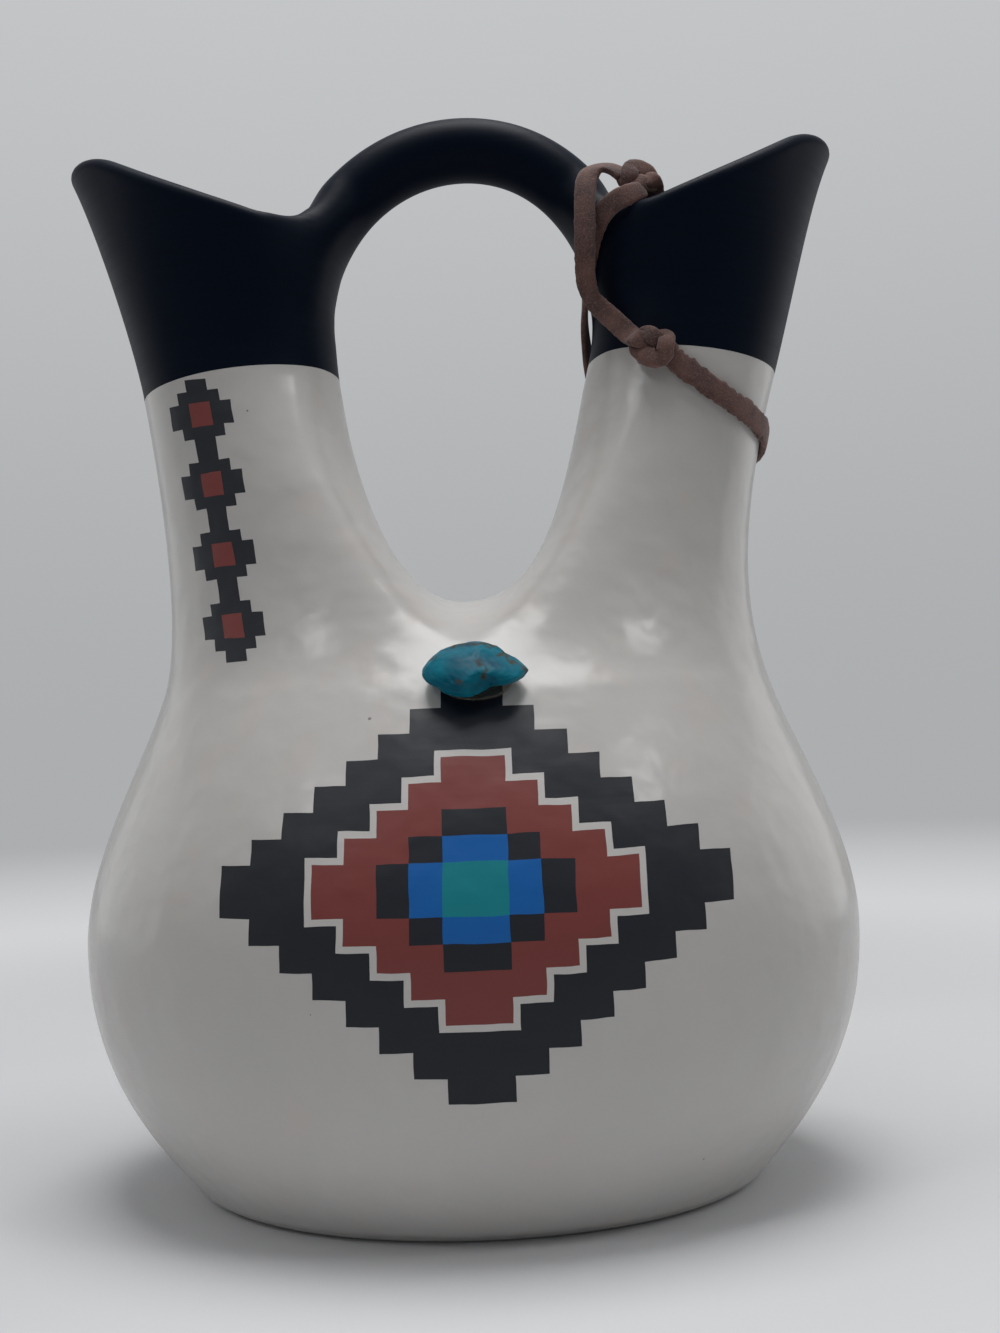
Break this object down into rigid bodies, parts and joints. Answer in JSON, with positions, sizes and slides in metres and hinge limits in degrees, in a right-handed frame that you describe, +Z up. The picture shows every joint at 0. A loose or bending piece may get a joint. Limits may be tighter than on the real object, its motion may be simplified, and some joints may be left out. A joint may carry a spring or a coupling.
{
  "type": "wedding_vase",
  "caption": "Ceramic wedding vase with two flared spouts, an arched handle, a turquoise nugget on the front and a leather lace tied round one neck.",
  "frame": {"origin": "middle of the flat foot, on the plane that the vase stands on", "axes": "+X runs from the left spout to the right spout as seen from the front, +Y from the front to the back, +Z up"},
  "size_m": [0.1828, 0.137, 0.2488],
  "materials": {
    "white_slip": "white slip, satin, with fine grey specks",
    "black_slip": "black, satin, with faint brush strokes; the necks are white below the collar line",
    "turquoise": "rough-polished, with brown matrix",
    "clear_glue": "set clear glue",
    "brown_leather": "worn suede lace, frayed at the edges"
  },
  "bodies": {
    "root": {"base": "white_slip", "bowl": "white_slip", "shoulder": "white_slip", "left_spout": "black_slip", "right_spout": "black_slip", "handle": "black_slip", "turquoise_nugget": "turquoise", "stone_glue": "clear_glue", "lace_front_strand": "brown_leather", "lace_front_knot": "brown_leather", "lace_neck_loop": "brown_leather", "lace_top_knot": "brown_leather", "lace_tail": "brown_leather"}
  },
  "joints": []
}
